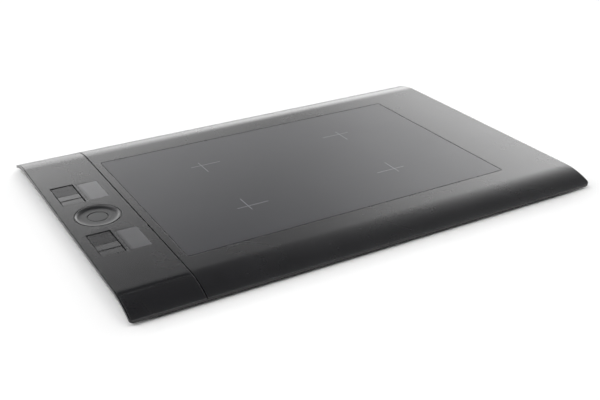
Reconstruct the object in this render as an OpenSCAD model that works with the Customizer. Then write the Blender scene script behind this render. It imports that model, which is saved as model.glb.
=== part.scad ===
// Large-format pen drawing tablet, with a strip of shortcut keys and a finger ring.
// Millimetres. X runs along the long side, Y towards the back, Z up.
// The origin is at the middle of the object, on the surface it stands on.

/* [Case] */
// Length of the case along X
case_w = 474.7; // [470:0.1:490]
// Depth of the case along Y
case_d = 320.8; // [316:0.1:340]
// Height of the flat top above the table
case_h = 14; // [13.6:0.1:15]
// How far from the front and back lips the top starts to roll down
roll_len = 33.6; // [30:0.1:34]
// How far the top has dropped at the lips
roll_drop = 7.8; // [6.5:0.1:7.8]
// Plan radius of the four corners
corner_r = 3.5; // [2:0.1:5]
// Height of the lip that shows all round
lip_h = 2.6; // [2:0.1:2.8]
// Wall thickness of the bottom case
wall = 2; // [1.6:0.1:2.2]
// Undercut of the short sides, from the lip to the base
tuck_x = 16; // [14:0.5:18]
// Undercut of the front and back, from the lip to the base
tuck_y = 13.8; // [12:0.1:16]

/* [Drawing area] */
// Length of the drawing sheet
sheet_w = 336.7; // [300:0.1:338]
// Depth of the drawing sheet
sheet_d = 212.5; // [180:0.1:214]
// Thickness of the drawing sheet
sheet_t = 0.8; // [0.5:0.1:0.9]
// Gap round the drawing sheet
sheet_gap = 0.55; // [0.2:0.05:0.6]

/* [Key strip] */
// Distance from the left side to the seam beside the drawing area
strip_w = 63.65; // [63:0.05:64]
// Width of the seam
seam_gap = 1; // [0.4:0.1:1.1]
// Width of the bottom case's rim beside the strip
rim_w = 1; // [0.9:0.05:1.4]
// Distance from the middle to the groove before the front end cap
cap_y = 133.7; // [132:0.1:135]
// Length of one key along X
key_w = 20.2; // [18:0.1:20.4]
// Key pitch along Y
key_pitch = 9.95; // [9:0.05:9.95]
// Gap between two keys
key_gap = 0.4; // [0.3:0.05:0.5]
// Gap between the keys and the edge of their opening
key_margin = 0.9; // [0.4:0.05:1]
// Travel of a key
key_travel = 0.6; // [0.3:0.1:0.6]
// Outer radius of the touch ring
ring_r = 20.5; // [19:0.1:20.5]
// Radius of the ring's centre button
button_r = 8.8; // [8:0.1:9]
// Travel of the centre button
button_travel = 0.5; // [0.3:0.1:0.5]
// Length of a display window along Y
window_d = 36.5; // [34:0.5:36.5]
// Width of a display window along X
window_w = 19.9; // [15:0.1:20]

/* [Connection side] */
// Distance of each USB inlet from the middle
port_y = 24; // [23.5:0.1:24]
// Length of the sliding inlet cover
cover_len = 22; // [18:0.5:23]

/* [Hidden] */
$fn = 48;

black_abs = "#2b2b2d";
dark_abs = "#1f1f21";
sheet_black = "#34343a";
smoked = "#4a4a4e";
board_green = "#1f5a3a";
steel = "#b4b6b8";
rubber_black = "#151516";

eps = 0.01;

// Case
half_w = case_w / 2;
half_d = case_d / 2;
flat_y = half_d - roll_len;
roll_r = (roll_len * roll_len + roll_drop * roll_drop) / (2 * roll_drop);
foot_h = 1;                     // the base stands this far above the table
base_z = foot_h;
floor_z = base_z + wall;
skin_t = 1.4;                   // outer skin of the covers
pad_t = 2.2;                    // covers' full thickness in the flat middle
pad_z = case_h - pad_t;         // underside of the covers in the flat middle
pad_y = flat_y - 1;
pad_x = half_w - 4.75;          // the covers' full thickness stops clear of the tray's walls
part_gap = 0.05;                // parting gap between the covers and the bottom case
flange_inset = 0.25;            // the bottom case's flange lies this far inside the lip
side_z = case_h - lip_h;        // lower edge of the lip on the short sides
tuck_end_x = half_w - 0.75;     // the undercut walls start just inside the lip
tuck_end_y = half_d - 0.6;
base_x = tuck_end_x - tuck_x;
base_y = tuck_end_y - tuck_y;
lip_z = case_h - roll_r + sqrt(pow(roll_r - lip_h, 2) - roll_len * roll_len);
cavity_x = half_w - 3.05;
cavity_y = half_d - 3.1;

// Strip
seam_x = -half_w + strip_w;
panel_x0 = -half_w + rim_w + 0.45;
panel_x1 = seam_x - seam_gap / 2;
top_x0 = seam_x + seam_gap / 2;
cap_gap = 1.6;
key_x = -half_w + 20.85;        // middle of the keys
ring_x = -half_w + 31.75;       // middle of the ring
window_x = -half_w + 44.1;      // middle of the display windows
key_y0 = 32.1;                  // nearer end of each key group
window_mid = [51, -54.5];       // middle of the rear and the front display window
group_len = 4 * key_pitch;
dish_depth = 1.5;               // the ring's dish below the panel
ring_gap = 0.6;
key_tops = [[-0.45, -0.65], [-0.3, -0.5], [-0.45, -0.3], [-0.58, -0.48]];   // each key's back and front edge

// Strip's board
board_z = 7;
board_t = 1.2;
board_top = board_z + board_t;
board_x0 = key_x - 7.8;
board_x1 = seam_x - 3.3;
board_y = 82;
switch_h = 2.5;
low_switch_h = 1.5;
plunger_r = 1.6;
bore_gap = 0.12;
bore_floor = board_top + 0.2;
key_under = pad_z - 0.1;        // underside of a key's cap
key_plunger_z = key_under - 0.3;
button_under = pad_z - 1.2;
button_plunger_z = button_under - 0.2;

// Sheet and pen sensor
sheet_x0 = top_x0 + 7.7;
sheet_z = case_h - sheet_t;
sensor_t = 1;
shield_t = 0.4;
sensor_z = pad_z - sensor_t;
shield_z = sensor_z - shield_t;
sensor_x0 = top_x0 + 2.4;
sensor_x1 = 171.5;
sensor_y = 110;
shield_x0 = sensor_x0 + 11;

// Connection side: a frame on the undercut left wall, its Z axis pointing out of the wall
tuck_h = side_z - base_z;
tuck_len = sqrt(tuck_x * tuck_x + tuck_h * tuck_h);
tuck_angle = atan2(tuck_h, tuck_x);
inlet_z = 6.6;                  // middle of each USB inlet
inlet_w = 7.7;
inlet_h = 4;
inlet_len = 9.2;
inlet_x = -base_x - 2.7;        // mouth of each inlet
pocket_w = 12.5;                // recess for the plug's grip
pocket_top = inlet_z + 3.5;
cover_w = 13.6;
cover_slack = 0.15;

// Screws
screw_r = 1.2;
screw_head_r = 2.7;
screw_bore = 0.06;
post_z = floor_z + 2;           // where the covers' bosses meet the bottom case's posts
seat_z = base_z + 2.2;
boss_r = 3.2;
top_screws = [for (x = [-160, -53, 53, 160], y = [-116, 116]) [x, y]];
side_screws = [for (y = [-60, 60]) [205, y]];
panel_screws = [for (x = [-214, -184], y = [-92, 92]) [x, y]];
cap_screws = [for (x = [-214, -188]) [x, -140]];
back_screws = [for (x = [-214, -188]) [x, 140]];
screw_places = concat(top_screws, side_screws, panel_screws, cap_screws, back_screws);
board_screw_places = [for (x = [-219, -180], y = [-78, 78]) [x, y]];
foot_places = [for (y = [-127, 127], x = [-188, 0, 188]) [x, y]];
foot_w = 44;
foot_d = 9;
foot_recess = 0.5;

// ---------- helpers ----------

// A flat shape in Y and Z, drawn out along X
module along_x(x0, x1) {
    translate([x0, 0, 0])
        rotate([90, 0, 90])
            linear_extrude(x1 - x0) children();
}

// A flat shape in X and Z, drawn out along Y
module along_y(y0, y1) {
    translate([0, y1, 0])
        rotate([90, 0, 0])
            linear_extrude(y1 - y0) children();
}

module block(x, y, z) {
    translate([x[0], y[0], z[0]])
        cube([x[1] - x[0], y[1] - y[0], z[1] - z[0]]);
}

module round_rect(w, d, r) {
    square([w - 2 * r, d], center = true);
    square([w, d - 2 * r], center = true);
    for (sx = [-1, 1], sy = [-1, 1])
        translate([sx * (w / 2 - r), sy * (d / 2 - r)]) circle(r = r);
}

// Everything under the case's top surface, seen from the side, down to t below it
module under_top(t) {
    translate([-flat_y, 0]) square([2 * flat_y, case_h - t]);
    for (s = [-1, 1])
        intersection() {
            translate([s * flat_y, case_h - roll_r]) circle(r = roll_r - t, $fn = 360);
            translate([s > 0 ? flat_y - eps : -flat_y - roll_len - 1, 0])
                square([roll_len + 1 + eps, case_h]);
        }
}

// A skin that follows the top, from t0 to t1 below it, between two X positions
module skin(x0, x1, t0, t1, inset = 0) {
    intersection() {
        along_x(x0, x1)
            difference() {
                under_top(t0);
                under_top(t1);
            }
        linear_extrude(case_h + 1)
            round_rect(case_w - 2 * inset, case_d - 2 * inset, corner_r - inset);
    }
}

// The tray shape under the lip, with undercut sides
module tray(gap, under) {
    slope_y = (lip_z - base_z) / tuck_y;
    slope_x = tuck_h / tuck_x;
    in_x = gap * sqrt(1 + 1 / (slope_x * slope_x));
    in_y = gap * sqrt(1 + 1 / (slope_y * slope_y));
    z0 = base_z + gap;
    x0 = base_x + gap / slope_x - in_x;
    y0 = base_y + gap / slope_y - in_y;
    x1 = gap > 0 ? cavity_x : tuck_end_x;
    y1 = gap > 0 ? cavity_y : tuck_end_y;
    zx = z0 + (x1 - x0) * slope_x;
    zy = z0 + (y1 - y0) * slope_y;
    top = case_h + 5;
    intersection() {
        along_x(-half_w, half_w)
            intersection() {
                polygon([[-y0, z0], [y0, z0], [y1, zy], [y1, top], [-y1, top], [-y1, zy]]);
                under_top(under);
            }
        along_y(-half_d, half_d)
            polygon([[-x0, z0], [x0, z0], [x1, zx], [x1, top], [-x1, top], [-x1, zx]]);
    }
}

// Places its children on the undercut left wall, Z pointing out of the wall
module on_left_wall() {
    translate([-(base_x + tuck_end_x) / 2, 0, (base_z + side_z) / 2])
        rotate([0, tuck_angle - 180, 0]) children();
}

// Bosses that hang from a cover, each with its screw's bore
module bosses(places) {
    for (p = places)
        intersection() {
            difference() {
                translate([p[0], p[1], post_z]) cylinder(r = boss_r, h = case_h - post_z);
                translate([p[0], p[1], post_z - eps]) cylinder(r = screw_r + screw_bore, h = 4.8);
            }
            along_x(p[0] - 10, p[0] + 10) under_top(skin_t - 0.3);
        }
}

// ---------- housings ----------

module case_ribs() {
    rib_t = 1.2;
    for (x = [-150 : 50 : 150])
        block([x - rib_t / 2, x + rib_t / 2], [-104, 104], [floor_z - eps, shield_z]);
    for (y = [-100 : 50 : 100])
        block([-154, 160], [y - rib_t / 2, y + rib_t / 2], [floor_z - eps, shield_z]);
}

module screw_posts() {
    for (p = screw_places)
        translate([p[0], p[1], floor_z - eps])
            cylinder(r = boss_r + 1, h = post_z - floor_z + eps);
    for (p = board_screw_places)
        translate([p[0], p[1], floor_z - eps]) cylinder(r = boss_r, h = board_z - floor_z + eps);
}

module screw_holes() {
    for (p = screw_places)
        translate([p[0], p[1], 0]) {
            cylinder(r = screw_head_r + 0.3, h = seat_z);
            cylinder(r = screw_r + 0.3, h = post_z + 1);
        }
    for (p = board_screw_places)
        translate([p[0], p[1], floor_z + 0.5]) cylinder(r = screw_r + screw_bore, h = board_z);
}

// Track for the inlet cover: a wide groove behind a narrower mouth
module cover_track(len) {
    mouth = cover_w + 2 * cover_slack;
    groove = mouth + 1.2;
    translate([-groove / 2, -len / 2, -1.45]) cube([groove, len, 0.75]);
    translate([-mouth / 2, -len / 2, -0.71]) cube([mouth, len, 2]);
}

module inlet_block(s) {
    side = pocket_w / 2 + 1.2;
    intersection() {
        tray(0, skin_t + 0.6);
        block([-half_w, inlet_x + 1.3], [s * port_y - side, s * port_y + side], [0, pad_z - 0.1]);
    }
}

module inlet_pocket(s) {
    block([-half_w - 5, inlet_x + 0.1], [s * port_y - pocket_w / 2, s * port_y + pocket_w / 2],
        [0, pocket_top]);
    block([inlet_x - 1, inlet_x + 3], [s * port_y - inlet_w / 2 - 0.15, s * port_y + inlet_w / 2 + 0.15],
        [inlet_z - inlet_h / 2 - 0.15, inlet_z + inlet_h / 2 + 0.15]);
}

// Thicker stretch of the left wall, behind the inlet cover's track
module thick_wall() {
    intersection() {
        tray(0, skin_t + 0.6);
        block([-half_w, 0], [-38, 38], [0, pad_z - 0.1]);
        on_left_wall() translate([-tuck_len / 2, -38, -2.8]) cube([tuck_len, 76, 3]);
    }
}

module bottom_case() {
    color(dark_abs)
        difference() {
            union() {
                difference() {
                    union() {
                        skin(-half_w, half_w, skin_t + part_gap, lip_h, flange_inset);
                        tray(0, skin_t + 0.6);
                    }
                    tray(wall, -1);
                }
                skin(-half_w, -half_w + rim_w, 0, lip_h);
                case_ribs();
                screw_posts();
                for (s = [-1, 1]) inlet_block(s);
                thick_wall();
            }
            screw_holes();
            on_left_wall() cover_track(2 * port_y + cover_len + 0.6);
            for (s = [-1, 1]) inlet_pocket(s);
            for (p = foot_places)
                translate([p[0], p[1], 0]) linear_extrude(base_z + foot_recess)
                    round_rect(foot_w + 0.3, foot_d + 0.3, 2);
            // Shallow panel for a rating plate
            block([-40, 40], [-80, -50], [0, base_z + 0.3]);
        }
}

module top_case() {
    color(black_abs)
        difference() {
            union() {
                skin(top_x0, half_w, 0, skin_t);
                block([top_x0, pad_x], [-pad_y, pad_y], [pad_z, case_h - skin_t + eps]);
                // Tongue under the strip's edge
                block([top_x0 - 2.1, top_x0 + eps], [-pad_y, pad_y], [pad_z - 0.8, pad_z - 0.05]);
                block([top_x0, top_x0 + 1.5], [-pad_y, pad_y], [pad_z - 0.8, pad_z + eps]);
                bosses(concat(top_screws, side_screws));
            }
            translate([sheet_x0 + sheet_w / 2, 0, sheet_z])
                linear_extrude(2)
                    round_rect(sheet_w + 2 * sheet_gap, sheet_d + 2 * sheet_gap, 1.5 + sheet_gap);
        }
}

module drawing_sheet() {
    color(sheet_black)
        translate([sheet_x0 + sheet_w / 2, 0, sheet_z])
            linear_extrude(sheet_t) round_rect(sheet_w, sheet_d, 1.5);
}

module key_panel() {
    opening_w = key_w + 2 * key_margin;
    opening_d = group_len - key_gap + 2 * key_margin;
    color(black_abs)
        difference() {
            union() {
                intersection() {
                    skin(panel_x0, panel_x1, 0, skin_t);
                    block([-half_w, 0], [-cap_y + cap_gap / 2, half_d + 1], [0, case_h + 1]);
                }
                block([-pad_x, panel_x1], [-pad_y, pad_y], [pad_z, case_h - skin_t + eps]);
                bosses(concat(panel_screws, back_screws));
            }
            for (s = [-1, 1]) {
                translate([key_x, s * (key_y0 + group_len / 2), case_h / 2 + pad_z])
                    cube([opening_w, opening_d, case_h], center = true);
                translate([window_x, s > 0 ? window_mid[0] : window_mid[1], 0]) {
                    translate([0, 0, case_h - 1])
                        linear_extrude(2) round_rect(window_w + 0.3, window_d + 0.3, 1);
                    translate([0, 0, case_h - pad_t - 1])
                        linear_extrude(4) square([window_w - 3.5, window_d - 4], center = true);
                }
            }
            translate([ring_x, 0, pad_z - 1])
                cylinder(r = ring_r + ring_gap, h = 5, $fn = 96);
        }
}

// The strip's front end: a tab beside the seam closes the groove's last stretch
module front_end_cap() {
    color(black_abs) {
        intersection() {
            skin(panel_x0, panel_x1, 0, skin_t);
            union() {
                block([-half_w, 0], [-half_d - 1, -cap_y - cap_gap / 2], [0, case_h + 1]);
                block([panel_x1 - 1.1, 0], [-half_d, -cap_y + cap_gap / 2 - 0.05], [0, case_h + 1]);
            }
        }
        bosses(cap_screws);
    }
}

// ---------- keys ----------

// Keys 1 to 4 run from the back of the rear group forwards, 5 to 8 the same in the front group
function key_far(n) = (n <= 4 ? key_y0 + group_len : -key_y0) - ((n - 1) % 4) * key_pitch;
function key_mid(n) = key_far(n) - key_pitch / 2;

module shortcut_key(n) {
    i = (n - 1) % 4;
    back = key_far(n) - key_gap / 2;
    front = key_far(n) - key_pitch + key_gap / 2;
    color(dark_abs) {
        along_x(key_x - key_w / 2, key_x + key_w / 2)
            polygon([[front, key_under], [back, key_under],
                [back, case_h + key_tops[i][0]], [front, case_h + key_tops[i][1]]]);
        for (s = [-1, 1])
            block([key_x + s * key_w / 2 - 1.5, key_x + s * key_w / 2 + 1.5],
                [front, back], [key_under - 0.8, key_under - 0.1]);
        for (s = [-1, 1])
            block([key_x + s * (key_w / 2 - 0.7) - 0.5, key_x + s * (key_w / 2 - 0.7) + 0.5],
                [front, back], [key_under - 0.8, key_under + eps]);
        translate([key_x, key_mid(n), key_plunger_z])
            cylinder(r = plunger_r, h = key_under - key_plunger_z + eps);
    }
}

module key_plunger(n) {
    z0 = bore_floor + key_travel + 0.1;
    color("#d8d8d4")
        translate([key_x, key_mid(n), z0]) cylinder(r = plunger_r, h = key_plunger_z - z0);
}

module switch_body(h) {
    difference() {
        translate([-3, -3, board_top]) cube([6, 6, h]);
        translate([0, 0, bore_floor]) cylinder(r = plunger_r + bore_gap, h = h);
    }
}

module push_switches() {
    color("#3a3a3c") {
        for (n = [1 : 8])
            translate([key_x, key_mid(n), 0]) switch_body(switch_h);
        translate([ring_x, 0, 0]) switch_body(low_switch_h);
    }
}

// ---------- touch ring ----------

// Dish of the ring: steepest at the rim, level beside the button
function dish_z(t) = case_h - dish_depth * (1 - pow(1 - t, 6));

module touch_ring() {
    inner = button_r + 0.55;
    rim = ring_r - 0.9;
    steps = 16;
    dish = [for (i = [0 : steps]) [rim + (inner - rim) * i / steps, dish_z(i / steps)]];
    color(black_abs)
        translate([ring_x, 0, 0])
            rotate_extrude($fn = 96)
                polygon(concat([[inner, pad_z - 0.6], [ring_r + 1.4, pad_z - 0.6],
                    [ring_r + 1.4, pad_z], [ring_r, pad_z], [ring_r, case_h - 0.1],
                    [ring_r - 0.15, case_h]], dish));
}

module ring_button() {
    color(black_abs)
        translate([ring_x, 0, 0])
            rotate_extrude($fn = 96)
                polygon([[0, button_plunger_z], [1.5, button_plunger_z], [1.5, button_under],
                    [button_r + 1, button_under], [button_r + 1, button_under + 0.4],
                    [button_r, button_under + 0.4], [button_r, case_h - dish_depth - 0.15],
                    [button_r - 0.15, case_h - dish_depth], [0, case_h - dish_depth]]);
}

module button_plunger() {
    z0 = bore_floor + button_travel + 0.1;
    color("#d8d8d4")
        translate([ring_x, 0, z0]) cylinder(r = plunger_r, h = button_plunger_z - z0);
}

module ring_sensor() {
    color(board_green)
        translate([ring_x, 0, pad_z - 1.2])
            difference() {
                cylinder(r = ring_r - 0.4, h = 0.6, $fn = 96);
                translate([0, 0, -1]) cylinder(r = button_r + 1.4, h = 3, $fn = 96);
            }
}

module ring_lead() {
    color("#b8742a")
        block([ring_x + 14.5, ring_x + 14.8], [-2.5, 2.5], [board_top, pad_z - 1.2]);
}

module mode_lights() {
    light_r = 23.3;
    for (a = [50, 130, 230, 310])
        translate([ring_x + light_r * cos(a), light_r * sin(a), 0]) {
            color("#f0efe6") translate([-0.8, -0.8, board_top]) cube([1.6, 1.6, 0.7]);
            color("#dfe6ea") translate([0, 0, board_top + 0.7])
                cylinder(r = 1, h = pad_z - board_top - 0.7);
        }
}

// ---------- displays ----------

module display_window(y) {
    color(smoked)
        translate([window_x, y, case_h - 1])
            linear_extrude(1) round_rect(window_w, window_d, 0.85);
}

module label_display(y) {
    color("#101216")
        translate([window_x - 7.5, y - 17.5, pad_z - 1.4]) cube([15, 35, 1.4]);
}

module display_leads() {
    x0 = window_x + 4;
    x1 = board_x1 - 1;
    color("#b8742a")
        for (m = window_mid) {
            y = [m - 4, m + 4];
            block([x0, x1], y, [pad_z - 1.6, pad_z - 1.4]);
            block([x1 - 0.2, x1], y, [board_top + 0.8, pad_z - 1.5]);
            block([x1 - 3, x1], y, [board_top + 0.8, board_top + 1]);
        }
}

// ---------- boards ----------

module key_board() {
    notch = pocket_w / 2 + 1.6;
    color(board_green)
        difference() {
            block([board_x0, board_x1], [-board_y, board_y], [board_z, board_top]);
            for (s = [-1, 1]) {
                block([board_x0 - 1, inlet_x + 1.7], [s * port_y - notch, s * port_y + notch], [0, case_h]);
                block([board_x0 - 1, inlet_x + inlet_len + 0.3],
                    [s * port_y - inlet_w / 2 - 0.3, s * port_y + inlet_w / 2 + 0.3], [0, case_h]);
            }
            for (p = board_screw_places)
                translate([p[0], p[1], 0]) cylinder(r = screw_r + 0.3, h = case_h);
        }
}

module board_chips() {
    color("#17181a") {
        block([-198, -188], [14, 24], [board_z - 1.2, board_z]);
        block([-200, -190], [40, 47], [board_z - 1, board_z]);
        block([-198, -193], [-66, -61], [board_z - 1, board_z]);
        block([-207, -203], [58, 62], [board_z - 0.8, board_z]);
    }
}

module shield_can() {
    color(steel)
        difference() {
            block([-204, -182], [-46, -22], [board_z - 2.4, board_z]);
            block([-203.7, -182.3], [-45.7, -22.3], [board_z - 2.1, board_z + 1]);
        }
}

module cable_sockets() {
    color("#e4dfd2") {
        for (m = window_mid)
            block([board_x1 - 7.2, board_x1 - 4], [m - 5, m + 5], [board_top, board_top + 1.4]);
        for (s = [-1, 1])
            block([board_x1 - 4, board_x1 - 0.6], [s * 22 - 9, s * 22 + 9], [board_top, board_top + 1.4]);
    }
}

module pen_sensor_board() {
    color(board_green)
        block([sensor_x0, sensor_x1], [-sensor_y, sensor_y], [sensor_z, pad_z]);
}

module shield_plate() {
    color(steel)
        block([shield_x0, sensor_x1], [-sensor_y, sensor_y], [shield_z, sensor_z]);
}

module sensor_cables() {
    drop_x = sensor_x0 + 0.5;
    color("#e8e6df")
        for (s = [-1, 1]) {
            y = [s * 22 - 8, s * 22 + 8];
            block([drop_x, shield_x0 - 1], y, [sensor_z - 0.2, sensor_z]);
            block([drop_x, drop_x + 0.2], y, [board_top + 0.6, sensor_z]);
            block([board_x1 - 0.6, drop_x + 0.2], y, [board_top + 0.6, board_top + 0.8]);
        }
}

// ---------- connection side ----------

// A USB inlet's metal shell, with the tongue inside it
module usb_inlet(s) {
    shell = 0.35;
    color(steel)
        difference() {
            block([inlet_x, inlet_x + inlet_len], [s * port_y - inlet_w / 2, s * port_y + inlet_w / 2],
                [inlet_z - inlet_h / 2, inlet_z + inlet_h / 2]);
            block([inlet_x - 1, inlet_x + inlet_len - 1.2],
                [s * port_y - inlet_w / 2 + shell, s * port_y + inlet_w / 2 - shell],
                [inlet_z - inlet_h / 2 + shell, inlet_z + inlet_h / 2 - shell]);
        }
    color("#17181a")
        block([inlet_x + 1, inlet_x + inlet_len - 1.2], [s * port_y - 2.2, s * port_y + 2.2],
            [inlet_z + 0.1, inlet_z + 1]);
}

module inlet_cover() {
    color(dark_abs)
        on_left_wall() {
            translate([-cover_w / 2 - 0.5, -cover_len / 2, -1.35])
                cube([cover_w + 1, cover_len, 0.55]);
            translate([-cover_w / 2, -cover_len / 2, -0.81]) cube([cover_w, cover_len, 0.76]);
            for (i = [-2 : 2])
                translate([-3.5, i * 1.8 - 0.35, -0.1]) cube([7, 0.7, 0.5]);
        }
}

// ---------- fasteners and feet ----------

module case_screws() {
    color(steel)
        for (p = screw_places)
            translate([p[0], p[1], 0])
                difference() {
                    union() {
                        translate([0, 0, seat_z - 1.5]) cylinder(r = screw_head_r, h = 1.5);
                        translate([0, 0, seat_z - eps]) cylinder(r = screw_r, h = 6);
                    }
                    for (a = [0, 90])
                        rotate([0, 0, a])
                            translate([-1.5, -0.35, 0]) cube([3, 0.7, seat_z - 0.6]);
                }
}

module board_screws() {
    color(steel)
        for (p = board_screw_places)
            translate([p[0], p[1], 0]) {
                translate([0, 0, board_top]) cylinder(r = 2.4, h = 1.3);
                translate([0, 0, board_top - 4]) cylinder(r = screw_r, h = 4 + eps);
            }
}

module rubber_foot(n) {
    p = foot_places[n - 1];
    color(rubber_black)
        translate([p[0], p[1], 0])
            linear_extrude(base_z + foot_recess) round_rect(foot_w, foot_d, 1.85);
}

// ---------- nodes ----------

bottom_case();
top_case();
drawing_sheet();
key_panel();
front_end_cap();
shortcut_key(1);  // shortcut_key_1
shortcut_key(2);  // shortcut_key_2
shortcut_key(3);  // shortcut_key_3
shortcut_key(4);  // shortcut_key_4
shortcut_key(5);  // shortcut_key_5
shortcut_key(6);  // shortcut_key_6
shortcut_key(7);  // shortcut_key_7
shortcut_key(8);  // shortcut_key_8
key_plunger(1);  // key_plunger_1
key_plunger(2);  // key_plunger_2
key_plunger(3);  // key_plunger_3
key_plunger(4);  // key_plunger_4
key_plunger(5);  // key_plunger_5
key_plunger(6);  // key_plunger_6
key_plunger(7);  // key_plunger_7
key_plunger(8);  // key_plunger_8
touch_ring();
ring_button();
button_plunger();
ring_sensor();
ring_lead();
display_window(window_mid[0]);  // rear_display_window
display_window(window_mid[1]);  // front_display_window
label_display(window_mid[0]);  // rear_label_display
label_display(window_mid[1]);  // front_label_display
display_leads();
key_board();
push_switches();
mode_lights();
board_chips();
cable_sockets();
shield_can();
pen_sensor_board();
shield_plate();
sensor_cables();
usb_inlet(1);  // rear_usb_inlet
usb_inlet(-1);  // front_usb_inlet
inlet_cover();
case_screws();
board_screws();
rubber_foot(1);  // rubber_foot_1
rubber_foot(2);  // rubber_foot_2
rubber_foot(3);  // rubber_foot_3
rubber_foot(4);  // rubber_foot_4
rubber_foot(5);  // rubber_foot_5
rubber_foot(6);  // rubber_foot_6
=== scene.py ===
# %% [markdown]
# # A pen drawing tablet, finished around its CAD frame
# The tablet is a thin black slab for drawing on with a pen. Its CAD model already holds every part at
# its real size, so this lesson only adds what the eye needs: rounded edges, moulded and printed
# surfaces, and studio light. We start by loading that frame and noting its box, because nothing made
# here may stand outside it.

# %% Load the frame
import math

import bmesh
import bpy
from mathutils import Matrix, Vector


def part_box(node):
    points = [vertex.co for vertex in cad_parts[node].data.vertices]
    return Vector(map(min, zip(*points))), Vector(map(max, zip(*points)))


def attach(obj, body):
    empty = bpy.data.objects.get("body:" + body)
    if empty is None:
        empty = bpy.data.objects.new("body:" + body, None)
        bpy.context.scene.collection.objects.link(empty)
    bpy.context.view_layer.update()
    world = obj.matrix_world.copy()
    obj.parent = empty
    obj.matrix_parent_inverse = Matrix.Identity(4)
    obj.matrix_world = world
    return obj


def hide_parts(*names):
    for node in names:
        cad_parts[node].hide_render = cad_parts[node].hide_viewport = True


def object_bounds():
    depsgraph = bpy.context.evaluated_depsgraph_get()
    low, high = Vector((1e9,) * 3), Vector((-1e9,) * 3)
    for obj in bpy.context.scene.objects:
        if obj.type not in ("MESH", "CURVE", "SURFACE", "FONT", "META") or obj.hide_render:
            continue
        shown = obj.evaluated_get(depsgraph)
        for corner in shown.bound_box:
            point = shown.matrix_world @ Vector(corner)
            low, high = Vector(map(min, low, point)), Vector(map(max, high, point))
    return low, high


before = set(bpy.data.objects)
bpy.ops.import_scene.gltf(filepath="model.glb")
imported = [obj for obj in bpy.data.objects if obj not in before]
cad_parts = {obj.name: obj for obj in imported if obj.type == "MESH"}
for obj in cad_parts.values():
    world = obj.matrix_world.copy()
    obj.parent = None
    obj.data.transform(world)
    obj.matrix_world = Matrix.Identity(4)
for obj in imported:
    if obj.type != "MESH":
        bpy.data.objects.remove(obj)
cad_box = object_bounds()
print("CAD box:", [tuple(round(c, 4) for c in corner) for corner in cad_box])

# %% [markdown]
# ## Sizes
# Everything is placed from the frame's own corners. The only shape that has to be stated again is the
# way the top rolls down at the front and the back: it is a circular arc, so its length and its drop
# give the radius.

# %% Sizes taken from the frame
MM = 0.001
HIGH = cad_box[1]
HALF_W = HIGH.x
HALF_D = HIGH.y
TOP = HIGH.z
ROLL_LEN = 33.6 * MM
ROLL_DROP = 7.8 * MM
ROLL_R = (ROLL_LEN ** 2 + ROLL_DROP ** 2) / (2 * ROLL_DROP)
FLAT_Y = HALF_D - ROLL_LEN
SKIN = 1.4 * MM
CORNER = 3.5 * MM


def drop_at(y):
    """How far the top has rolled down at this depth."""
    out = max(0.0, abs(y) - FLAT_Y)
    return ROLL_R - math.sqrt(max(ROLL_R ** 2 - out ** 2, 0.0))


print(f"roll radius {ROLL_R / MM:.1f} mm, drop at the lips {drop_at(HALF_D) / MM:.2f} mm")

# %% [markdown]
# ## Camera
# A product view from the front left, a little above the desk. A normal lens at arm's length keeps the
# slight perspective that a real tablet shows. The camera comes first, so that every later step can be
# judged from it.

# %% Camera
CAM_AZIMUTH = -30.45
CAM_ELEVATION = 26.74
CAM_DISTANCE = 0.8623
CAM_TARGET = Vector((-0.0206, -0.0401, 0.0))
CAM_ROLL = 0.22

azimuth = math.radians(CAM_AZIMUTH)
elevation = math.radians(CAM_ELEVATION)
back = Vector((
    math.sin(azimuth) * math.cos(elevation),
    -math.cos(azimuth) * math.cos(elevation),
    math.sin(elevation),
))
lens = bpy.data.cameras.new("studio_camera")
lens.lens = 54.19
lens.sensor_width = 36
camera = bpy.data.objects.new("studio_camera", lens)
bpy.context.scene.collection.objects.link(camera)
aim = (-back).to_track_quat("-Z", "Y").to_matrix().to_4x4()
camera.matrix_world = (
    Matrix.Translation(CAM_TARGET + back * CAM_DISTANCE)
    @ aim
    @ Matrix.Rotation(math.radians(CAM_ROLL), 4, "Z")
)
bpy.context.scene.camera = camera
print("camera at", [round(c, 3) for c in camera.matrix_world.translation])

# %% [markdown]
# ## Two helpers for materials
# Every finish below is built from nodes. Colours are picked as screen colours, so one function turns a
# hex value to the linear numbers that the shader wants. Another adds one node with its settings, its
# values and its links, which keeps each recipe short enough to read.

# %% Material helpers
def linear(hex_colour):
    """A screen colour such as #2a2b2c as linear red, green, blue and alpha."""
    channels = []
    for i in (1, 3, 5):
        c = int(hex_colour[i:i + 2], 16) / 255
        channels.append(c / 12.92 if c <= 0.04045 else ((c + 0.055) / 1.055) ** 2.4)
    return (*channels, 1.0)


def add_node(tree, kind, settings=None, values=None, links=None):
    """One node, with its properties, its socket values and what is plugged into it."""
    made = tree.nodes.new(kind)
    for key, value in (settings or {}).items():
        setattr(made, key, value)
    for key, value in (values or {}).items():
        made.inputs[key].default_value = value
    for key, socket in (links or {}).items():
        tree.links.new(socket, made.inputs[key])
    return made


def start_material(name, **values):
    """A new material with its shader's sockets set; gives the material, its tree and the shader."""
    material = bpy.data.materials.new(name)
    material.use_nodes = True
    tree = material.node_tree
    shader = tree.nodes["Principled BSDF"]
    for key, value in values.items():
        shader.inputs[key.replace("_", " ")].default_value = value
    return material, tree, shader


def set_ramp(ramp, stops):
    """Fills a colour ramp with (position, colour) stops."""
    elements = ramp.color_ramp.elements
    while len(elements) > len(stops):
        elements.remove(elements[-1])
    while len(elements) < len(stops):
        elements.new(1.0)
    for element, (position, colour) in zip(elements, stops):
        element.position = position
        element.color = colour


def per_mm(size):
    """Texture scale for a pattern whose grains are this many millimetres apart."""
    return 1 / (size * MM)


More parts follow.
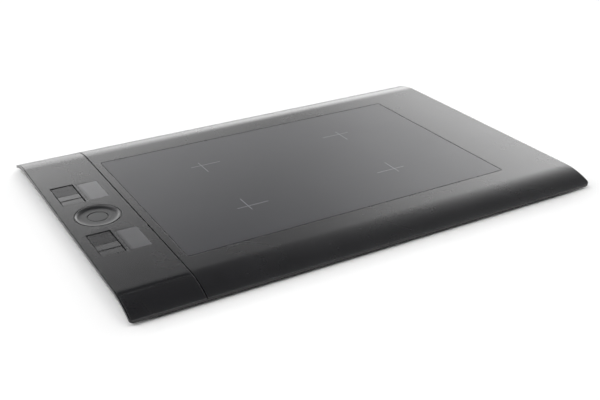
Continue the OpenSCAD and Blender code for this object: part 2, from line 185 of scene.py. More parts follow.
# %% [markdown]
# ## Moulded ABS
# The covers are injection-moulded black ABS from a spark-eroded mould. That leaves a very fine, even
# grain: it breaks up reflections into a satin sheen, and the colour stays a neutral near-black. The
# real grain is about 0.15 mm, too fine to see from here, so it is drawn at about 0.5 mm. Hands leave
# broad, faint changes of gloss, which a slow noise in the roughness gives.

# %% Moulded plastics
def moulded_plastic(name, dark, light, rough, grain_mm=0.5, grain_depth=0.012, smudge=0.05, ior=1.52):
    """Plastic with two close tints, a broad change of gloss (smudge) and a fine grain in its surface."""
    material, tree, shader = start_material(name, IOR=ior, Metallic=0.0)
    place = add_node(tree, "ShaderNodeTexCoord")
    tint = add_node(tree, "ShaderNodeTexNoise", values={"Scale": per_mm(18), "Detail": 3.0},
                    links={"Vector": place.outputs["Object"]})
    colour = add_node(tree, "ShaderNodeValToRGB", links={"Fac": tint.outputs["Fac"]})
    set_ramp(colour, [(0.35, linear(dark)), (0.65, linear(light))])
    tree.links.new(colour.outputs["Color"], shader.inputs["Base Color"])
    smear = add_node(tree, "ShaderNodeTexNoise",
                     values={"Scale": per_mm(45), "Detail": 4.0, "Roughness": 0.6},
                     links={"Vector": place.outputs["Object"]})
    gloss = add_node(tree, "ShaderNodeMapRange",
                     values={"To Min": rough - smudge / 2, "To Max": rough + smudge / 2},
                     links={"Value": smear.outputs["Fac"]})
    tree.links.new(gloss.outputs["Result"], shader.inputs["Roughness"])
    grain = add_node(tree, "ShaderNodeTexNoise",
                     values={"Scale": per_mm(grain_mm), "Detail": 2.0, "Roughness": 0.5},
                     links={"Vector": place.outputs["Object"]})
    bump = add_node(tree, "ShaderNodeBump",
                    values={"Strength": 0.6, "Distance": grain_depth * MM},
                    links={"Height": grain.outputs["Fac"]})
    tree.links.new(bump.outputs["Normal"], shader.inputs["Normal"])
    return material


cover_abs = moulded_plastic("satin_black_abs", "#19191b", "#1d1d1f", rough=0.27)
case_abs = moulded_plastic("grained_black_abs", "#18181a", "#1c1c1e", rough=0.3, grain_mm=0.8,
                           grain_depth=0.015)
key_abs = moulded_plastic("key_cap_abs", "#1b1b1d", "#202022", rough=0.27, smudge=0.03)
ring_abs = moulded_plastic("fine_satin_black_abs", "#19191b", "#1d1d1f", rough=0.36, grain_depth=0.004)
switch_nylon = moulded_plastic("switch_nylon", "#2a2a2c", "#313133", rough=0.5)
plunger_pom = moulded_plastic("plunger_acetal", "#cfcfca", "#d8d8d4", rough=0.4)
socket_nylon = moulded_plastic("socket_nylon", "#dcd6c8", "#e6e0d2", rough=0.45)
chip_epoxy = moulded_plastic("chip_epoxy", "#151617", "#1b1c1e", rough=0.55)
print("moulded plastics ready")

# %% [markdown]
# ## Drawing film
# The drawing sheet is a hard-coated polyester film, sanded to feel like paper. It scatters light more
# widely than the case, and its coating looks a touch blue. The tooth is fine sandpaper grit, about
# 0.1 mm, drawn at 0.4 mm so that it shows at all. Pen strokes polish it a little, in broad patches.

# %% Drawing film and its print
film, film_tree, film_shader = start_material("drawing_film", IOR=1.5, Metallic=0.0)
film_place = add_node(film_tree, "ShaderNodeTexCoord")
film_tone = add_node(film_tree, "ShaderNodeTexNoise", values={"Scale": per_mm(60), "Detail": 2.0},
                     links={"Vector": film_place.outputs["Object"]})
film_ramp = add_node(film_tree, "ShaderNodeValToRGB", links={"Fac": film_tone.outputs["Fac"]})
set_ramp(film_ramp, [(0.3, linear("#1c1c22")), (0.7, linear("#202026"))])
film_tree.links.new(film_ramp.outputs["Color"], film_shader.inputs["Base Color"])
film_wear = add_node(film_tree, "ShaderNodeTexNoise",
                     values={"Scale": per_mm(90), "Detail": 5.0, "Roughness": 0.65},
                     links={"Vector": film_place.outputs["Object"]})
film_gloss = add_node(film_tree, "ShaderNodeMapRange", values={"To Min": 0.3, "To Max": 0.37},
                      links={"Value": film_wear.outputs["Fac"]})
film_tree.links.new(film_gloss.outputs["Result"], film_shader.inputs["Roughness"])
film_tooth = add_node(film_tree, "ShaderNodeTexNoise", values={"Scale": per_mm(0.4), "Detail": 3.0},
                      links={"Vector": film_place.outputs["Object"]})
film_bump = add_node(film_tree, "ShaderNodeBump", values={"Strength": 0.7, "Distance": 0.012 * MM},
                     links={"Height": film_tooth.outputs["Fac"]})
film_tree.links.new(film_bump.outputs["Normal"], film_shader.inputs["Normal"])

ink = moulded_plastic("screen_printed_ink", "#77777c", "#828288", rough=0.5, grain_depth=0.002)
print("film and ink ready")

# %% [markdown]
# ## Smoked window
# The display windows are smoked acrylic, polished smoother than the cover round them. A pale display
# lies behind the smoke, so they look a little lighter than the cover. Over the few millimetres nearest
# the keys their colour is darkened: painted shade, standing in for the shade between keys and window.

# %% Window acrylic
window_acrylic_painted_shade = moulded_plastic("smoked_acrylic_painted_shade", "#525254", "#555557", rough=0.22, grain_depth=0.001,
                                 smudge=0.02, ior=1.49)
window_tree = window_acrylic_painted_shade.node_tree
window_shader = window_tree.nodes["Principled BSDF"]
window_tone = window_shader.inputs["Base Color"].links[0].from_socket
window_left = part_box("rear_display_window")[0].x
# Painted shade: the window's colour falls to a fifth over its first few millimetres beside the keys.
PAINTED_SHADE_LEN = 4 * MM
PAINTED_SHADE_FLOOR = 0.2
window_place = add_node(window_tree, "ShaderNodeTexCoord")
window_split = add_node(window_tree, "ShaderNodeSeparateXYZ",
                        links={"Vector": window_place.outputs["Object"]})
window_painted_shade = add_node(window_tree, "ShaderNodeMapRange",
                       values={"From Min": window_left, "From Max": window_left + PAINTED_SHADE_LEN,
                               "To Min": PAINTED_SHADE_FLOOR, "To Max": 1.0},
                       links={"Value": window_split.outputs["X"]})
window_shaded_tone = add_node(window_tree, "ShaderNodeVectorMath", settings={"operation": "SCALE"},
                      links={"Vector": window_tone, "Scale": window_painted_shade.outputs["Result"]})
window_tree.links.new(window_shaded_tone.outputs["Vector"], window_shader.inputs["Base Color"])
print("window finish ready")

# %% [markdown]
# ## Boards, metal and rubber
# Boards are glass-fibre laminate under a green solder mask, with copper tracks that show through as
# fine parallel lines. The inlets and screws are plated steel, and the feet are soft black rubber.

# %% Other finishes
display_glass = moulded_plastic("display_glass", "#0c0d10", "#101216", rough=0.08, grain_depth=0.0005)
foot_rubber = moulded_plastic("foot_rubber", "#121213", "#18181a", rough=0.75, grain_mm=1.2,
                              grain_depth=0.06)
flex_film = moulded_plastic("polyimide_flex", "#8a5220", "#a3682c", rough=0.25)
ribbon_film = moulded_plastic("ribbon_cable_film", "#dedbd2", "#e8e6de", rough=0.35)
light_guide = moulded_plastic("clear_polycarbonate", "#cfd8dd", "#dfe6ea", rough=0.1)


def plated_steel(name, dark, light, rough, brush_mm=0.3):
    """Bright metal, drawn along X: the brushing is a noise stretched in that direction."""
    material, tree, shader = start_material(name, Metallic=1.0)
    place = add_node(tree, "ShaderNodeTexCoord")
    stretch = add_node(tree, "ShaderNodeMapping", values={"Scale": (0.05, 1.0, 1.0)},
                       links={"Vector": place.outputs["Object"]})
    lines = add_node(tree, "ShaderNodeTexNoise", values={"Scale": per_mm(brush_mm), "Detail": 3.0},
                     links={"Vector": stretch.outputs["Vector"]})
    colour = add_node(tree, "ShaderNodeValToRGB", links={"Fac": lines.outputs["Fac"]})
    set_ramp(colour, [(0.3, linear(dark)), (0.7, linear(light))])
    tree.links.new(colour.outputs["Color"], shader.inputs["Base Color"])
    gloss = add_node(tree, "ShaderNodeMapRange", values={"To Min": rough - 0.06, "To Max": rough + 0.06},
                     links={"Value": lines.outputs["Fac"]})
    tree.links.new(gloss.outputs["Result"], shader.inputs["Roughness"])
    return material


inlet_steel = plated_steel("nickel_plated_steel", "#a8aaac", "#c4c6c8", rough=0.28)
screw_steel = plated_steel("black_zinc_steel", "#4a4b4d", "#5d5e60", rough=0.38)
shield_steel = plated_steel("tinned_steel_sheet", "#9b9d9f", "#b3b5b7", rough=0.35, brush_mm=0.8)

board, board_tree, board_shader = start_material("solder_mask_laminate", IOR=1.5, Roughness=0.32)
board_place = add_node(board_tree, "ShaderNodeTexCoord")
board_lines = add_node(board_tree, "ShaderNodeTexWave",
                       settings={"wave_type": "BANDS", "bands_direction": "DIAGONAL"},
                       values={"Scale": per_mm(3.2), "Distortion": 0.0},
                       links={"Vector": board_place.outputs["Object"]})
board_ramp = add_node(board_tree, "ShaderNodeValToRGB", links={"Fac": board_lines.outputs["Fac"]})
set_ramp(board_ramp, [(0.0, linear("#17492f")), (0.72, linear("#194f33")), (0.8, linear("#2b6e45"))])
board_tree.links.new(board_ramp.outputs["Color"], board_shader.inputs["Base Color"])
print("all finishes ready")

# %% [markdown]
# ## Cutting plates with rounded edges
# Most outer pieces are plates that follow the top: an outline, some openings, a thickness, and a small
# rounding on every edge that catches the light. A filled 2D curve makes exactly that, openings and
# rounding included. The plate is then sliced across in the rolled zones and lowered there, so that it
# bends with the case without losing its even thickness. Edges that face a dark gap can be kept crisp,
# because a rounding there would catch light and blur the gap.

# %% Outline and plate helpers
def rounded_box(x0, x1, y0, y1, radii, steps=6):
    """Corner points of a box with round corners; radii go round anticlockwise from the front left."""
    centres = [
        (x0 + radii[0], y0 + radii[0], radii[0], 180),
        (x1 - radii[1], y0 + radii[1], radii[1], 270),
        (x1 - radii[2], y1 - radii[2], radii[2], 0),
        (x0 + radii[3], y1 - radii[3], radii[3], 90),
    ]
    points = []
    for cx, cy, r, start in centres:
        for i in range(steps + 1):
            a = math.radians(start + 90 * i / steps)
            points.append((cx + r * math.cos(a), cy + r * math.sin(a)))
    return points


def ring_points(cx, cy, r, steps=96):
    return [(cx + r * math.cos(2 * math.pi * i / steps), cy + r * math.sin(2 * math.pi * i / steps))
            for i in range(steps)]


def to_object(name, mesh, material):
    piece = bpy.data.objects.new(name, mesh)
    bpy.context.scene.collection.objects.link(piece)
    mesh.materials.clear()
    mesh.materials.append(material)
    for face in mesh.polygons:
        face.use_smooth = True
    return piece


def even_shading(piece):
    """Keeps flat faces flat beside their small roundings."""
    weighted = piece.modifiers.new("even_shading", "WEIGHTED_NORMAL")
    weighted.weight = 50
    weighted.keep_sharp = True


CRISP_SHARE = 0.05
CALM_Y = FLAT_Y - 3 * MM  # level faces this far from the roll are shaded flat


def cut_plate(name, outlines, top, thick, rounding, material, lower=None, cuts=(), crisp=None):
    """A plate from outlines and openings; lower(x, y, is_upper) bends it, cuts are its slices in Y.

    crisp = (axis, position, inwards) names one straight edge that keeps only a trace of its rounding.
    """
    curve = bpy.data.curves.new(name, "CURVE")
    curve.dimensions = "2D"
    curve.fill_mode = "BOTH"
    curve.extrude = thick / 2 - rounding
    curve.bevel_depth = rounding
    curve.bevel_resolution = 2
    curve.offset = -rounding
    for points in outlines:
        spline = curve.splines.new("POLY")
        spline.points.add(len(points) - 1)
        spline.use_cyclic_u = True
        for point, (x, y) in zip(spline.points, points):
            point.co = (x, y, 0, 1)
    pattern = bpy.data.objects.new(name + "_pattern", curve)
    bpy.context.scene.collection.objects.link(pattern)
    bpy.context.view_layer.update()
    solid = pattern.evaluated_get(bpy.context.evaluated_depsgraph_get())
    mesh = bpy.data.meshes.new_from_object(solid)
    bpy.data.objects.remove(pattern)
    bpy.data.curves.remove(curve)
    body = bmesh.new()
    body.from_mesh(mesh)
    bmesh.ops.remove_doubles(body, verts=body.verts, dist=0.002 * MM)
    for y in cuts:
        everything = body.verts[:] + body.edges[:] + body.faces[:]
        bmesh.ops.bisect_plane(body, geom=everything, plane_co=(0, y, 0), plane_no=(0, 1, 0),
                               dist=0.001 * MM)
    if crisp:
        axis, at, inwards = crisp
        for vert in body.verts:
            inset = (vert.co[axis] - at) * inwards
            if 0 <= inset < rounding:
                vert.co[axis] = at + inset * inwards * CRISP_SHARE
    for vert in body.verts:
        fall = lower(vert.co.x, vert.co.y, vert.co.z > 0) if lower else 0.0
        vert.co.z += top - thick / 2 - fall
    bmesh.ops.recalc_face_normals(body, faces=body.faces)
    body.to_mesh(mesh)
    body.free()
    mesh.name = name
    piece = to_object(name, mesh, material)
    for face in mesh.polygons:
        reach = max(abs(mesh.vertices[i].co.y) for i in face.vertices)
        face.use_smooth = abs(face.normal.z) < 0.99999 or reach > CALM_Y
    if crisp:
        mesh.set_sharp_from_angle(angle=math.radians(40))
    even_shading(piece)
    return piece


def roll_cuts(y_end, step=1.4 * MM):
    """Y positions of the slices in both rolled zones, out to y_end."""
    count = int((y_end - FLAT_Y) / step)
    ahead = [CALM_Y] + [FLAT_Y + step * i for i in range(count + 1)]
    return ahead + [-y for y in ahead]


def follow_roll(x, y, is_upper):
    return drop_at(y)


def settle(piece, body, slot, *nodes):
    """Hands a finished piece to its CAD body: it rides there and stands for those nodes."""
    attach(piece, body)
    if nodes:
        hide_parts(*nodes)
    size = piece.dimensions / MM
    print(f"{piece.name}: {size.x:.1f} x {size.y:.1f} x {size.z:.1f} mm on {body}")
    return piece


# %% [markdown]
# ## Top cover
# The big cover over the drawing area is one moulding with a wide shallow window for the sheet. Its
# outer edge turns down into the lip with a rounding of about half a millimetre, which draws the thin
# light line along the front.

# %% Top cover
cover_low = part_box("top_case")[0]
film_low, film_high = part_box("drawing_sheet")
FILM_GAP = 0.55 * MM
SHARP = 0.3 * MM
TONGUE = 2.1 * MM
cover_left = cover_low.x + TONGUE
cover_outline = rounded_box(cover_left, HALF_W, -HALF_D, HALF_D, (SHARP, CORNER, CORNER, SHARP))
film_opening = rounded_box(film_low.x - FILM_GAP, film_high.x + FILM_GAP, film_low.y - FILM_GAP,
                           film_high.y + FILM_GAP, (1.9 * MM,) * 4)
top_cover = cut_plate("top_cover", [cover_outline, film_opening], TOP, SKIN, 0.42 * MM, cover_abs,
                      follow_roll, roll_cuts(HALF_D), (0, cover_left, 1))
settle(top_cover, "tablet", "cover_black", "top_case")

film_bed = cut_plate("film_bed", [rounded_box(film_low.x - 3 * MM, film_high.x + 3 * MM,
                                              film_low.y - 3 * MM, film_high.y + 3 * MM,
                                              (2 * MM,) * 4)],
                     film_low.z, 0.4 * MM, 0.05 * MM, case_abs)
settle(film_bed, "tablet", "cover_black")

# %% [markdown]
# ## Drawing sheet
# The film lies in its window with a hair's gap all round. Four crosses are printed on it, one at the
# middle of each quarter of the active area; their arms reach further towards the middle of the sheet.
# The print is a few hundredths of a millimetre thick, as screen printing is.

# %% Drawing sheet and crosses
film_top = TOP - 0.05 * MM
sheet = cut_plate("drawing_sheet_film", [rounded_box(film_low.x, film_high.x, film_low.y, film_high.y,
                                                     (1.5 * MM,) * 4)],
                  film_top, film_top - film_low.z, 0.12 * MM, film)
settle(sheet, "tablet", "drawing_surface", "drawing_sheet")

ACTIVE_X = 325.1 * MM
ACTIVE_Y = 203.2 * MM
LINE = 0.7 * MM
ARM_IN_X, ARM_OUT_X = 20.5 * MM, 11.0 * MM
ARM_IN_Y, ARM_OUT_Y = 16.5 * MM, 7.5 * MM
INK = 0.03 * MM
marks = bmesh.new()
for sx in (-1, 1):
    for sy in (-1, 1):
        cx, cy = sx * ACTIVE_X / 4, sy * ACTIVE_Y / 4
        bars = [
            (cx - sx * ARM_IN_X, cx + sx * ARM_OUT_X, cy - LINE / 2, cy + LINE / 2),
            (cx - LINE / 2, cx + LINE / 2, cy - sy * ARM_IN_Y, cy + sy * ARM_OUT_Y),
        ]
        for x0, x1, y0, y1 in bars:
            made = bmesh.ops.create_cube(marks, size=1.0)["verts"]
            for vert in made:
                vert.co.x = (x0 + x1) / 2 + vert.co.x * abs(x1 - x0)
                vert.co.y = (y0 + y1) / 2 + vert.co.y * abs(y1 - y0)
                vert.co.z = film_top + (INK if vert.co.z > 0 else -0.01 * MM)
marks_mesh = bpy.data.meshes.new("printed_crosses")
marks.to_mesh(marks_mesh)
marks.free()
crosses = to_object("printed_crosses", marks_mesh, ink)
for face in marks_mesh.polygons:
    face.use_smooth = False
settle(crosses, "tablet", "drawing_surface")

# %% [markdown]
# ## Key strip
# The strip's cover has square openings for the two key groups, a round one for the ring, and windows
# for the two displays. It runs over the back roll, and ends at the front with a soft edge beside a
# groove. A separate cap closes the front; a narrow tab of it beside the seam bridges the groove, so the
# strip's edge runs through without a break.

# %% Key panel and front cap
panel_low, panel_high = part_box("key_panel")
ring_low, ring_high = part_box("touch_ring")
RING_X = (ring_low.x + ring_high.x) / 2
RING_FLANGE = 1.4 * MM
RING_R = (ring_high.x - ring_low.x) / 2 - RING_FLANGE
RING_GAP = 0.6 * MM
openings = [ring_points(RING_X, 0, RING_R + RING_GAP)]
KEY_FLANGE = 1.5 * MM
KEY_MARGIN = 0.9 * MM
for near, far in (("shortcut_key_4", "shortcut_key_1"), ("shortcut_key_8", "shortcut_key_5")):
    near_low, near_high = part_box(near)
    far_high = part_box(far)[1]
    openings.append(rounded_box(near_low.x + KEY_FLANGE - KEY_MARGIN, near_high.x - KEY_FLANGE + KEY_MARGIN,
                                near_low.y - KEY_MARGIN, far_high.y + KEY_MARGIN, (0.6 * MM,) * 4))
for node in ("rear_display_window", "front_display_window"):
    low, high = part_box(node)
    openings.append(rounded_box(low.x - 0.06 * MM, high.x + 0.06 * MM, low.y - 0.06 * MM,
                                high.y + 0.06 * MM, (1 * MM,) * 4))

# The strip's back left corner follows the case's own corner
corner_x, corner_y = -HALF_W + CORNER, HALF_D - CORNER
stop = math.acos((panel_low.x - corner_x) / CORNER)
strip_corner = [(corner_x + CORNER * math.cos(math.pi / 2 + (stop - math.pi / 2) * i / 8),
                 corner_y + CORNER * math.sin(math.pi / 2 + (stop - math.pi / 2) * i / 8))
                for i in range(9)]
plain = rounded_box(panel_low.x, panel_high.x, panel_low.y, panel_high.y, (SHARP,) * 4)
panel_outline = plain[:21] + strip_corner

SOFT_LEN, SOFT_DROP = 3.2 * MM, 0.7 * MM


def follow_roll_softly(x, y, is_upper):
    """As the roll, with the strip's front edge falling off gently into the groove."""
    into = max(0.0, 1 - (y - panel_low.y) / SOFT_LEN)
    return drop_at(y) + (SOFT_DROP * into ** 2 if is_upper else 0.0)


soft_cuts = [panel_low.y + SOFT_LEN * share for share in (0.15, 0.3, 0.45, 0.6, 0.8, 1.0)]
key_cover = cut_plate("key_strip_cover", [panel_outline] + openings, TOP, SKIN, 0.28 * MM, cover_abs,
                      follow_roll_softly, roll_cuts(panel_high.y) + soft_cuts, (1, panel_low.y, 1))
settle(key_cover, "tablet", "cover_black", "key_panel")

TAB = 1.1 * MM
cap_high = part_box("front_end_cap")[1]
TAB_REACH = 1.55 * MM
cap_edge = cap_high.y - TAB_REACH
cap_outline = [(x, -y) for x, y in reversed(strip_corner)]
cap_outline += rounded_box(panel_low.x, panel_high.x, -HALF_D, cap_edge, (SHARP,) * 4)[7:14]
cap_outline += [(panel_high.x, cap_high.y - 0.3 * MM), (panel_high.x - SHARP, cap_high.y),
                (panel_high.x - TAB, cap_high.y), (panel_high.x - TAB, cap_edge)]
cap_outline += [(panel_low.x + SHARP, cap_edge), (panel_low.x, cap_edge - SHARP)]
front_cap = cut_plate("front_cap", [cap_outline], TOP, SKIN, 0.28 * MM, cover_abs, follow_roll,
                      roll_cuts(HALF_D), (1, cap_edge, -1))
settle(front_cap, "tablet", "cover_black", "front_end_cap")

# %% [markdown]
# ## Shortcut keys
# In each group the back two keys lean forwards and the front two lean back, by about a degree, and the
# outer keys sit a little lower. That makes a shallow valley, so that a finger finds the middle without
# looking. A key is a plate with rounded edges whose top is then tilted, with a skirt on each side that
# runs under the strip's cover and keeps the key from being pulled out.

# %% Shortcut keys
KEY_TOPS = [(-0.45, -0.65), (-0.3, -0.5), (-0.45, -0.3), (-0.58, -0.48)]
KEY_DEEP = 1.9 * MM
SKIRT_DEPTH, SKIRT_THICK, SKIRT_WIDE = 2.4 * MM, 0.7 * MM, 2.7 * MM
for n in range(1, 9):
    node = f"shortcut_key_{n}"
    low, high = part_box(node)
    z_back, z_front = KEY_TOPS[(n - 1) % 4]

    def tilt(x, y, is_upper):
        share = (y - low.y) / (high.y - low.y)
        return -(z_front + (z_back - z_front) * share) * MM

    cap = cut_plate(f"key_cap_{n}", [rounded_box(low.x + KEY_FLANGE, high.x - KEY_FLANGE, low.y, high.y,
                                                 (0.5 * MM,) * 4)],
                    TOP, KEY_DEEP, 0.35 * MM, key_abs, tilt)
    settle(cap, f"key_{n}", "key_black", node)
    skirts = [rounded_box(x, x + SKIRT_WIDE, low.y, high.y, (0.3 * MM,) * 4)
              for x in (low.x, high.x - SKIRT_WIDE)]
    skirt = cut_plate(f"key_skirt_{n}", skirts, TOP - SKIRT_DEPTH, SKIRT_THICK, 0.1 * MM, key_abs)
    settle(skirt, f"key_{n}", "key_black")

# %% [markdown]
# ## Touch ring and its button
# The ring is a fixed dish for a fingertip: steep just inside its rim, nearly level beside the button.
# Turned pieces like these are a profile spun round an axis. The rim keeps a tiny rounding, because it
# is what catches the light.

# %% Touch ring and button
def turned(name, profile, centre, material, steps=128):
    """A solid of revolution from (radius, height) points that start and end on the underside."""
    body = bmesh.new()
    rows = []
    for r, z in profile:
        rows.append([body.verts.new((centre[0] + r * math.cos(2 * math.pi * k / steps),
                                     centre[1] + r * math.sin(2 * math.pi * k / steps), z))
                     for k in range(steps)] if r > 0 else [body.verts.new((*centre, z))])
    for a, b in zip(rows, rows[1:]):
        for k in range(steps):
            quad = [a[k % len(a)], a[(k + 1) % len(a)], b[(k + 1) % len(b)], b[k % len(b)]]
            corners = list(dict.fromkeys(quad))
            if len(corners) > 2:
                body.faces.new(corners)
    bmesh.ops.recalc_face_normals(body, faces=body.faces)
    mesh = bpy.data.meshes.new(name)
    body.to_mesh(mesh)
    body.free()
    piece = to_object(name, mesh, material)
    mesh.set_sharp_from_angle(angle=math.radians(50))
    even_shading(piece)
    return piece


button_low, button_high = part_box("ring_button")
BUTTON_FLANGE = 1 * MM
BUTTON_R = (button_high.x - button_low.x) / 2 - BUTTON_FLANGE
BUTTON_GAP = 0.55 * MM
DISH = TOP - button_high.z
ring_inner = BUTTON_R + BUTTON_GAP
rim_r = RING_R - 0.9 * MM
dish = []
for i in range(33):
    share = (i / 32) ** 1.5
    dish.append((rim_r + (ring_inner + 0.25 * MM - rim_r) * share, TOP - DISH * (1 - (1 - share) ** 6)))
edge = [(RING_R, TOP - 0.35 * MM), (RING_R - 0.04 * MM, TOP - 0.18 * MM),
        (RING_R - 0.14 * MM, TOP - 0.06 * MM), (RING_R - 0.3 * MM, TOP)]
inner_edge = [(ring_inner + 0.07 * MM, TOP - DISH - 0.06 * MM), (ring_inner, TOP - DISH - 0.25 * MM)]
ring_bottom = ring_low.z
ring_profile = ([(ring_inner, ring_bottom), (RING_R, ring_bottom)] + edge + dish + inner_edge
                + [(ring_inner, ring_bottom)])
ring_piece = turned("touch_ring_dish", ring_profile, (RING_X, 0), ring_abs)
settle(ring_piece, "tablet", "ring_black", "touch_ring")

button_top = button_high.z
button_profile = [(0, button_low.z), (BUTTON_R, button_low.z), (BUTTON_R, button_top - 0.3 * MM),
                  (BUTTON_R - 0.06 * MM, button_top - 0.12 * MM),
                  (BUTTON_R - 0.25 * MM, button_top - 0.02 * MM),
                  (BUTTON_R - 0.6 * MM, button_top), (0, button_top)]
button_piece = turned("ring_centre_button", button_profile, (RING_X, 0), ring_abs)
settle(button_piece, "centre_button", "ring_black", "ring_button")

# %% [markdown]
# ## Display windows
# Two smoked acrylic windows sit flush in the strip. They have no visible frame: only their lighter
# tone tells them apart from the cover.

# %% Display windows
for name, node in (("rear_window", "rear_display_window"), ("front_window", "front_display_window")):
    low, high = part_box(node)
    pane = cut_plate(name, [rounded_box(low.x, high.x, low.y, high.y, (0.9 * MM,) * 4)],
                     TOP - 0.02 * MM, 1 * MM, 0.08 * MM, window_acrylic_painted_shade)
    settle(pane, "tablet", "smoked_window", node)

# %% [markdown]
# ## Underside
# Rubber feet are moulded pads with soft edges. The bottom case keeps its CAD shape: welding its
# corners, merging its flat triangles and rounding its edges, all with modifiers, turns the machined
# look into a moulded one without touching the mesh itself.

# %% Feet, and softened CAD edges
for n in range(1, 7):
    node = f"rubber_foot_{n}"
    low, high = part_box(node)
    foot = cut_plate(f"foot_pad_{n}", [rounded_box(low.x, high.x, low.y, high.y, (1.8 * MM,) * 4)],
                     high.z, high.z - low.z, 0.45 * MM, foot_rubber)
    settle(foot, "tablet", "foot_rubber", node)


def soften(node, width, material, angle=32):
    """Rounds a CAD node's edges with modifiers, and gives it its finish."""
    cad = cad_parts[node]
    cad.data.materials.clear()
    cad.data.materials.append(material)
    weld = cad.modifiers.new("weld", "WELD")
    weld.merge_threshold = 0.002 * MM
    flat = cad.modifiers.new("flat", "DECIMATE")
    flat.decimate_type = "DISSOLVE"
    flat.angle_limit = math.radians(0.6)
    if width:
        rounding = cad.modifiers.new("rounding", "BEVEL")
        rounding.width = width
        rounding.segments = 2
        rounding.limit_method = "ANGLE"
        rounding.angle_limit = math.radians(angle)
        rounding.use_clamp_overlap = True
    even_shading(cad)


soften("bottom_case", 0.25 * MM, case_abs)
soften("inlet_cover", 0.12 * MM, case_abs)
soften("rear_usb_inlet", 0.05 * MM, inlet_steel)
soften("front_usb_inlet", 0.05 * MM, inlet_steel)
soften("case_screws", 0.0, screw_steel)

# %% [markdown]
# ## Inside
# The parts inside keep their CAD shapes and only need their finishes: boards, shields, switches,
# cables and displays, each in the material it is made of.

# %% Inner parts
inner_finishes = {
    board: ["key_board", "pen_sensor_board", "ring_sensor"],
    shield_steel: ["shield_plate", "shield_can"],
    screw_steel: ["board_screws"],
    switch_nylon: ["push_switches"],
    plunger_pom: [f"key_plunger_{n}" for n in range(1, 9)] + ["button_plunger"],
    socket_nylon: ["cable_sockets"],
    chip_epoxy: ["board_chips"],
    flex_film: ["ring_lead", "display_leads"],
    ribbon_film: ["sensor_cables"],
    light_guide: ["mode_lights"],
    display_glass: ["rear_label_display", "front_label_display"],
}
for finish, nodes in inner_finishes.items():
    for node in nodes:
        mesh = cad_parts[node].data
        mesh.materials.clear()
        mesh.materials.append(finish)
print("inner parts finished:", sum(len(nodes) for nodes in inner_finishes.values()))

# %% [markdown]
# ## Studio
# Black satin plastic shows little but its surroundings, so the room is the real material here. A low
# white wall stands behind the set and mostly stops at about 25 degrees, a little higher on the right.
# It paints the far side of the tablet light and leaves the near side dark. A soft canopy above and
# behind the camera lights the floor without showing in the plastic, and a weak softbox on the left
# fills the shadow there. The floor is plain and pale.

# %% Floor
floor_mat, floor_tree, floor_shader = start_material("pale_paper_floor", IOR=1.4, Roughness=0.9)
floor_place = add_node(floor_tree, "ShaderNodeTexCoord")
floor_noise = add_node(floor_tree, "ShaderNodeTexNoise", values={"Scale": per_mm(400), "Detail": 2.0},
                       links={"Vector": floor_place.outputs["Object"]})
floor_ramp = add_node(floor_tree, "ShaderNodeValToRGB", links={"Fac": floor_noise.outputs["Fac"]})
set_ramp(floor_ramp, [(0.3, linear("#f2f2f2")), (0.7, linear("#f5f5f5"))])
floor_tree.links.new(floor_ramp.outputs["Color"], floor_shader.inputs["Base Color"])
FLOOR = 20.0
floor_mesh = bpy.data.meshes.new("floor")
floor_mesh.from_pydata([(-FLOOR, -FLOOR, 0), (FLOOR, -FLOOR, 0), (FLOOR, FLOOR, 0), (-FLOOR, FLOOR, 0)],
                       [], [(0, 1, 2, 3)])
floor = bpy.data.objects.new("floor", floor_mesh)
floor_mesh.materials.append(floor_mat)
bpy.context.scene.collection.objects.link(floor)

# %% Surrounding light
def grey(v):
    return (v, v, v, 1.0)


def height_stops(levels):
    """Ramp stops over the sine of the elevation, from (degrees, light) pairs."""
    return [(math.sin(math.radians(degrees)), grey(light)) for degrees, light in levels]


def side_stops(levels):
    """Ramp stops over the compass, from (degrees, share) pairs; 0 is behind the tablet, 90 on its right."""
    return [((degrees + 180) / 360, grey(share)) for degrees, share in levels]


world = bpy.data.worlds.new("studio")
world.use_nodes = True
sky = world.node_tree
bpy.context.scene.world = world
direction = add_node(sky, "ShaderNodeTexCoord")
split = add_node(sky, "ShaderNodeSeparateXYZ", links={"Vector": direction.outputs["Generated"]})
turn = add_node(sky, "ShaderNodeMath", settings={"operation": "ARCTAN2"},
                links={0: split.outputs["X"], 1: split.outputs["Y"]})
compass = add_node(sky, "ShaderNodeMapRange", values={"From Min": -math.pi, "From Max": math.pi},
                   links={"Value": turn.outputs["Value"]})


def light_band(levels, sides):
    """Light that varies with the elevation, kept to one stretch of the compass."""
    rise = add_node(sky, "ShaderNodeValToRGB", links={"Fac": split.outputs["Z"]})
    set_ramp(rise, height_stops(levels))
    side = add_node(sky, "ShaderNodeValToRGB", links={"Fac": compass.outputs["Result"]})
    set_ramp(side, side_stops(sides))
    return add_node(sky, "ShaderNodeMath", settings={"operation": "MULTIPLY"},
                    links={0: rise.outputs["Color"], 1: side.outputs["Color"]})


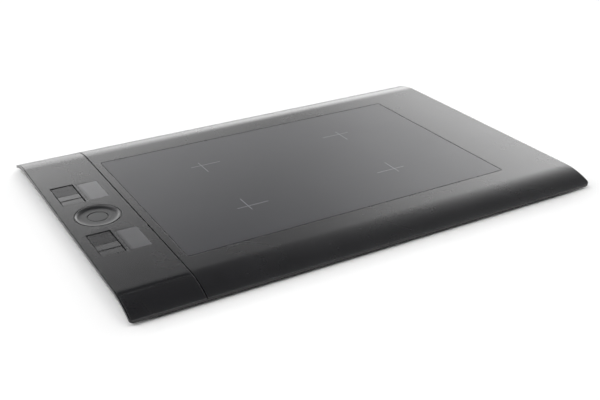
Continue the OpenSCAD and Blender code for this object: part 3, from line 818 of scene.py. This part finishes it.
# The light at each of these elevations, in six stretches of the compass that fade into each other
HEIGHTS = (0, 10, 16, 20, 23, 26, 29, 33, 40, 55, 90)
bands = [
    # back left
    ((1.87, 0.88, 1.01, 3.36, 3.24, 1.08, 0.85, 1.32, 2.17, 2.54, 0), [(-110, 0), (-60, 1), (0, 0)]),
    # straight behind
    ((3.09, 1.52, 1.02, 7.94, 6.89, 0, 0, 0, 0, 0, 0), [(-60, 0), (0, 1), (30, 0)]),
    # back right
    ((2.36, 4.0, 1.48, 1.07, 0, 0, 0, 0, 0, 0.07, 0), [(0, 0), (30, 1), (50, 0)]),
    # further round to the right
    ((3.74, 5.71, 5.24, 4.87, 3.37, 3.36, 2.86, 0.85, 0.45, 0.15, 0), [(30, 0), (50, 1), (80, 0)]),
    # right
    ((1.35, 1.24, 1.18, 1.15, 0.77, 0.5, 0.11, 0, 0, 0.18, 0), [(50, 0), (80, 1), (130, 0)]),
    # the canopy, from the left round behind the camera to the front right
    ((0, 0, 0, 0, 0, 0, 0, 0, 1.42, 3.55, 0), [(-110, 1), (-60, 0), (80, 0), (130, 1)]),
]
light = None
for levels, sides in bands:
    band = light_band(zip(HEIGHTS, levels), sides)
    if light:
        band = add_node(sky, "ShaderNodeMath", settings={"operation": "ADD"},
                        links={0: light.outputs["Value"], 1: band.outputs["Value"]})
    light = band
sky.links.new(light.outputs["Value"], sky.nodes["Background"].inputs["Color"])


def softbox(name, azimuth_deg, elevation_deg, distance, size, power):
    """A soft lamp that looks at the tablet; azimuth 0 is behind it and 90 is on its right."""
    lamp = bpy.data.lights.new(name, "AREA")
    lamp.size = size
    lamp.energy = power
    holder = bpy.data.objects.new(name, lamp)
    bpy.context.scene.collection.objects.link(holder)
    a, e = math.radians(azimuth_deg), math.radians(elevation_deg)
    spot = Vector((math.sin(a) * math.cos(e), math.cos(a) * math.cos(e), math.sin(e))) * distance
    holder.matrix_world = Matrix.Translation(spot) @ (-spot).to_track_quat("-Z", "Y").to_matrix().to_4x4()
    return holder


softbox("fill_softbox", -100, 45, 1.8, 1.2, 3.7)
bpy.context.scene.view_settings.view_transform = "Standard"
print("studio lit")
